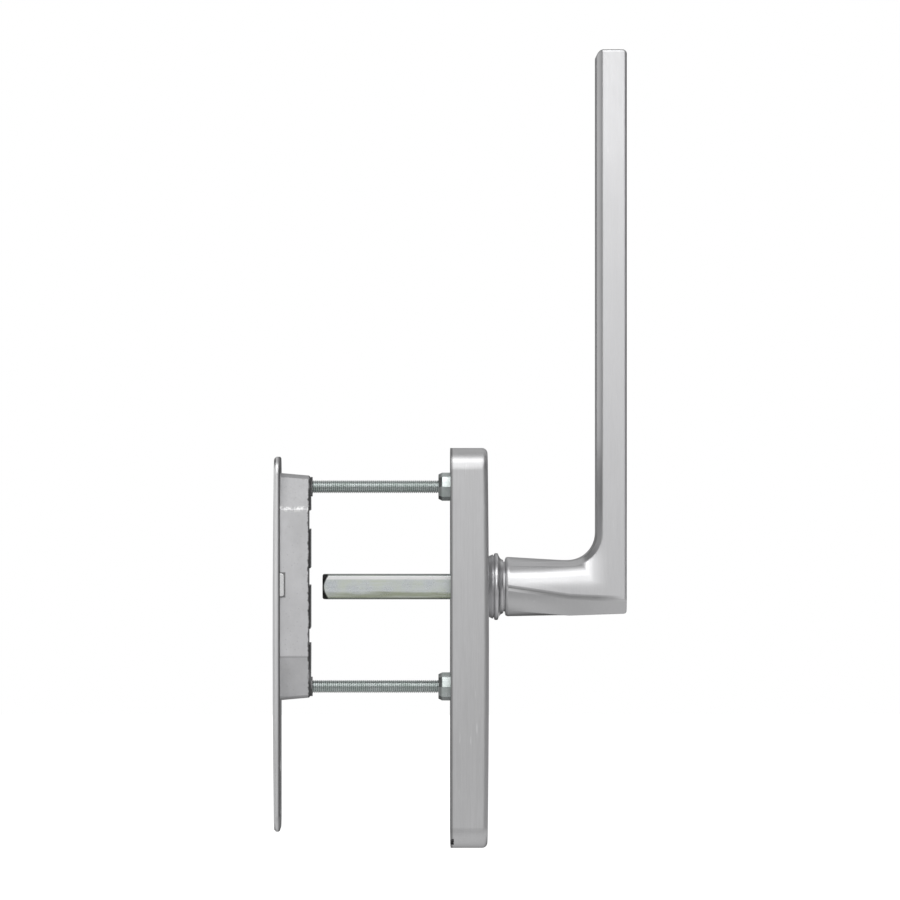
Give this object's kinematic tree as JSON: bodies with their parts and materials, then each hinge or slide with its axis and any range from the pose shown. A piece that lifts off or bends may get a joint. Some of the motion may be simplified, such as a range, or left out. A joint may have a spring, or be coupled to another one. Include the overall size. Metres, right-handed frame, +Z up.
{
  "type": "lift and slide door handle",
  "caption": "Lever handle for a lift and slide door, on a deep cover plate with through screws and a square spindle to an outer plate with a flush pull.",
  "frame": {"origin": "on the spindle's axis, in the plane where the inner plate meets the door leaf", "axes": "+X from the door leaf to the room, along the spindle; +Z up along the grip at rest; Y across the plates"},
  "size_m": [0.141, 0.034, 0.3184],
  "materials": {
    "satin_cover": "satin, brushed upright",
    "satin_lever": "satin",
    "satin_ring": "turned satin",
    "satin_outer": "satin, brushed upright",
    "cast_cup": "matt light grey casting",
    "cast_base": "matt grey casting",
    "bush": "plain bearing plastic",
    "spring_steel": "bright spring steel",
    "zinc_steel": "zinc plated, slightly green",
    "passivated_steel": "zinc plated, yellow and green sheen"
  },
  "bodies": {
    "plates": {"base_plate": "cast_base", "cover_plate": "satin_cover", "bearing_bush": "bush", "thrust_washer": "spring_steel", "guide_ring": "satin_ring", "closing_plate": "zinc_steel", "closing_screw_upper": "zinc_steel", "closing_screw_lower": "zinc_steel", "detent_spring_near": "spring_steel", "detent_spring_far": "spring_steel", "support_lug_upper": "zinc_steel", "support_lug_lower": "zinc_steel", "through_screw_upper": "zinc_steel", "through_screw_lower": "zinc_steel", "outer_plate": "satin_outer", "flush_cup": "cast_cup", "cup_clip_near": "spring_steel", "cup_clip_far": "spring_steel"},
    "lever": {"lever_handle": "satin_lever", "spindle": "passivated_steel", "spindle_pin": "zinc_steel", "retaining_ring": "spring_steel", "detent_disc": "zinc_steel"}
  },
  "joints": [
    {"name": "lever_turn", "type": "hinge", "parent": "plates", "child": "lever", "pos_m": [0, 0, 0], "axis": [1, 0, 0], "range_deg": [0, 180], "deforming": ["detent_spring_near", "detent_spring_far"]}
  ]
}
